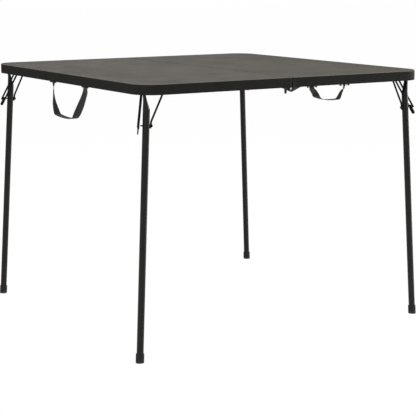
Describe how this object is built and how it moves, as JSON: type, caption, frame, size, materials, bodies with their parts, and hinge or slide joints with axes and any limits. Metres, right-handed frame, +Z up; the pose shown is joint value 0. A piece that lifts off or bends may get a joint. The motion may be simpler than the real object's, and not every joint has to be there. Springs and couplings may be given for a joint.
{
  "type": "folding card table",
  "caption": "Square card table whose moulded top folds in half over four folding splayed tube legs with wire braces, with two webbing handles.",
  "frame": {"origin": "on the floor under the middle of the open top, at the bottom centre of the bounding box", "axes": "+Z up, the seam between the halves along Y, front edge at -Y, the half with the side handle at -X"},
  "size_m": [0.9806, 0.952, 0.7455],
  "materials": {
    "moulded_top": "fine-grained moulded plastic",
    "leg_enamel": "semi-gloss black enamel",
    "foot_rubber": "matte",
    "webbing": "woven webbing",
    "screw_steel": "blackened",
    "bracket_steel": "satin black",
    "hinge_steel": "satin black",
    "bearing_plastic": "matte",
    "pin_steel": "satin black",
    "brace_wire": "satin black"
  },
  "bodies": {
    "left_half": {"left_panel": "moulded_top", "left_leg_screws": "screw_steel", "left_hinge_screws": "screw_steel", "front_left_hinge_leaf": "hinge_steel", "back_left_hinge_leaf": "hinge_steel", "catch_pins": "hinge_steel", "side_handle_anchors": "bracket_steel", "side_handle_screws": "screw_steel", "front_left_leg_bracket": "bracket_steel", "front_left_link_bearing": "bearing_plastic", "back_left_leg_bracket": "bracket_steel", "back_left_link_bearing": "bearing_plastic", "fold_rivets": "hinge_steel"},
    "right_half": {"right_panel": "moulded_top", "right_leg_screws": "screw_steel", "right_hinge_screws": "screw_steel", "front_right_hinge_leaf": "hinge_steel", "back_right_hinge_leaf": "hinge_steel", "front_handle_anchors": "bracket_steel", "front_handle_screws": "screw_steel", "front_right_leg_bracket": "bracket_steel", "front_right_link_bearing": "bearing_plastic", "back_right_leg_bracket": "bracket_steel", "back_right_link_bearing": "bearing_plastic"},
    "front_left_leg": {"front_left_leg_tube": "leg_enamel", "front_left_foot_cap": "foot_rubber", "front_left_side_stay": "brace_wire", "front_left_cross_pin": "pin_steel", "front_left_hinge_rod": "pin_steel"},
    "front_left_lock_wire": {"front_left_lock_wire": "brace_wire"},
    "front_left_lock_bar": {"front_left_lock_bar": "brace_wire"},
    "back_left_leg": {"back_left_leg_tube": "leg_enamel", "back_left_foot_cap": "foot_rubber", "back_left_side_stay": "brace_wire", "back_left_cross_pin": "pin_steel", "back_left_hinge_rod": "pin_steel"},
    "back_left_lock_wire": {"back_left_lock_wire": "brace_wire"},
    "back_left_lock_bar": {"back_left_lock_bar": "brace_wire"},
    "front_right_leg": {"front_right_leg_tube": "leg_enamel", "front_right_foot_cap": "foot_rubber", "front_right_side_stay": "brace_wire", "front_right_cross_pin": "pin_steel", "front_right_hinge_rod": "pin_steel"},
    "front_right_lock_wire": {"front_right_lock_wire": "brace_wire"},
    "front_right_lock_bar": {"front_right_lock_bar": "brace_wire"},
    "back_right_leg": {"back_right_leg_tube": "leg_enamel", "back_right_foot_cap": "foot_rubber", "back_right_side_stay": "brace_wire", "back_right_cross_pin": "pin_steel", "back_right_hinge_rod": "pin_steel"},
    "back_right_lock_wire": {"back_right_lock_wire": "brace_wire"},
    "back_right_lock_bar": {"back_right_lock_bar": "brace_wire"},
    "side_handle": {"side_handle": "webbing"},
    "front_handle": {"front_handle": "webbing"},
    "front_catch": {"front_catch_lever": "hinge_steel"},
    "back_catch": {"back_catch_lever": "hinge_steel"}
  },
  "joints": [
    {"name": "centre_fold", "type": "hinge", "parent": "left_half", "child": "right_half", "pos_m": [0, 0, 0.7125], "axis": [0, 1, 0], "range_deg": [0, 165]},
    {"name": "front_left_leg_fold", "type": "hinge", "parent": "left_half", "child": "front_left_leg", "pos_m": [-0.4386, -0.4334, 0.7251], "axis": [0.9916, -0.1294, 0], "range_deg": [0, 91.99]},
    {"name": "front_left_lock_wire_fold", "type": "hinge", "parent": "left_half", "child": "front_left_lock_wire", "pos_m": [-0.43017, -0.39275, 0.7385], "axis": [0.9916, -0.1294, 0], "range_deg": [0, 116.2]},
    {"name": "front_left_lock_bar_fold", "type": "hinge", "parent": "left_half", "child": "front_left_lock_bar", "pos_m": [-0.42312, -0.38358, 0.7385], "axis": [0.9916, -0.1294, 0], "range_deg": [0, 116.2]},
    {"name": "back_left_leg_fold", "type": "hinge", "parent": "left_half", "child": "back_left_leg", "pos_m": [-0.4386, 0.4334, 0.7251], "axis": [-0.9996, -0.0283, 0], "range_deg": [0, 91.68]},
    {"name": "back_left_lock_wire_fold", "type": "hinge", "parent": "left_half", "child": "back_left_lock_wire", "pos_m": [-0.43433, 0.3921, 0.7385], "axis": [-0.9996, -0.0283, 0], "range_deg": [0, 116.2]},
    {"name": "back_left_lock_bar_fold", "type": "hinge", "parent": "left_half", "child": "back_left_lock_bar", "pos_m": [-0.42825, 0.38227, 0.7385], "axis": [-0.9996, -0.0283, 0], "range_deg": [0, 116.2]},
    {"name": "front_right_leg_fold", "type": "hinge", "parent": "right_half", "child": "front_right_leg", "pos_m": [0.4386, -0.4334, 0.7251], "axis": [0.9996, 0.0283, 0], "range_deg": [0, 91.68]},
    {"name": "front_right_lock_wire_fold", "type": "hinge", "parent": "right_half", "child": "front_right_lock_wire", "pos_m": [0.43433, -0.3921, 0.7385], "axis": [0.9996, 0.0283, 0], "range_deg": [0, 116.2]},
    {"name": "front_right_lock_bar_fold", "type": "hinge", "parent": "right_half", "child": "front_right_lock_bar", "pos_m": [0.42825, -0.38227, 0.7385], "axis": [0.9996, 0.0283, 0], "range_deg": [0, 116.2]},
    {"name": "back_right_leg_fold", "type": "hinge", "parent": "right_half", "child": "back_right_leg", "pos_m": [0.4386, 0.4334, 0.7251], "axis": [-0.9916, 0.1294, 0], "range_deg": [0, 91.99]},
    {"name": "back_right_lock_wire_fold", "type": "hinge", "parent": "right_half", "child": "back_right_lock_wire", "pos_m": [0.43017, 0.39275, 0.7385], "axis": [-0.9916, 0.1294, 0], "range_deg": [0, 116.2]},
    {"name": "back_right_lock_bar_fold", "type": "hinge", "parent": "right_half", "child": "back_right_lock_bar", "pos_m": [0.42312, 0.38358, 0.7385], "axis": [-0.9916, 0.1294, 0], "range_deg": [0, 116.2]},
    {"name": "side_handle_swing", "type": "hinge", "parent": "left_half", "child": "side_handle", "pos_m": [-0.4675, -0.036, 0.7139], "axis": [0, 1, 0], "range_deg": [0, 90]},
    {"name": "front_handle_swing", "type": "hinge", "parent": "right_half", "child": "front_handle", "pos_m": [0.1295, -0.4675, 0.7139], "axis": [-1, 0, 0], "range_deg": [0, 90]},
    {"name": "front_catch", "type": "hinge", "parent": "left_half", "child": "front_catch", "pos_m": [-0.016, -0.4715, 0.72], "axis": [0, 1, 0], "range_deg": [0, 20]},
    {"name": "back_catch", "type": "hinge", "parent": "left_half", "child": "back_catch", "pos_m": [-0.016, 0.4715, 0.72], "axis": [0, 1, 0], "range_deg": [0, 20]}
  ],
  "couplings": [
    {"joint": "front_left_leg_fold", "follows": "centre_fold", "ratio": 0.55751},
    {"joint": "front_left_lock_wire_fold", "follows": "centre_fold", "ratio": 0.70423},
    {"joint": "front_left_lock_bar_fold", "follows": "centre_fold", "ratio": 0.70423},
    {"joint": "back_left_leg_fold", "follows": "centre_fold", "ratio": 0.55565},
    {"joint": "back_left_lock_wire_fold", "follows": "centre_fold", "ratio": 0.70423},
    {"joint": "back_left_lock_bar_fold", "follows": "centre_fold", "ratio": 0.70423},
    {"joint": "front_right_leg_fold", "follows": "centre_fold", "ratio": 0.55565},
    {"joint": "front_right_lock_wire_fold", "follows": "centre_fold", "ratio": 0.70423},
    {"joint": "front_right_lock_bar_fold", "follows": "centre_fold", "ratio": 0.70423},
    {"joint": "back_right_leg_fold", "follows": "centre_fold", "ratio": 0.55751},
    {"joint": "back_right_lock_wire_fold", "follows": "centre_fold", "ratio": 0.70423},
    {"joint": "back_right_lock_bar_fold", "follows": "centre_fold", "ratio": 0.70423},
    {"joint": "side_handle_swing", "follows": "centre_fold", "ratio": 0.54545},
    {"joint": "front_handle_swing", "follows": "centre_fold", "ratio": 0.54545}
  ]
}
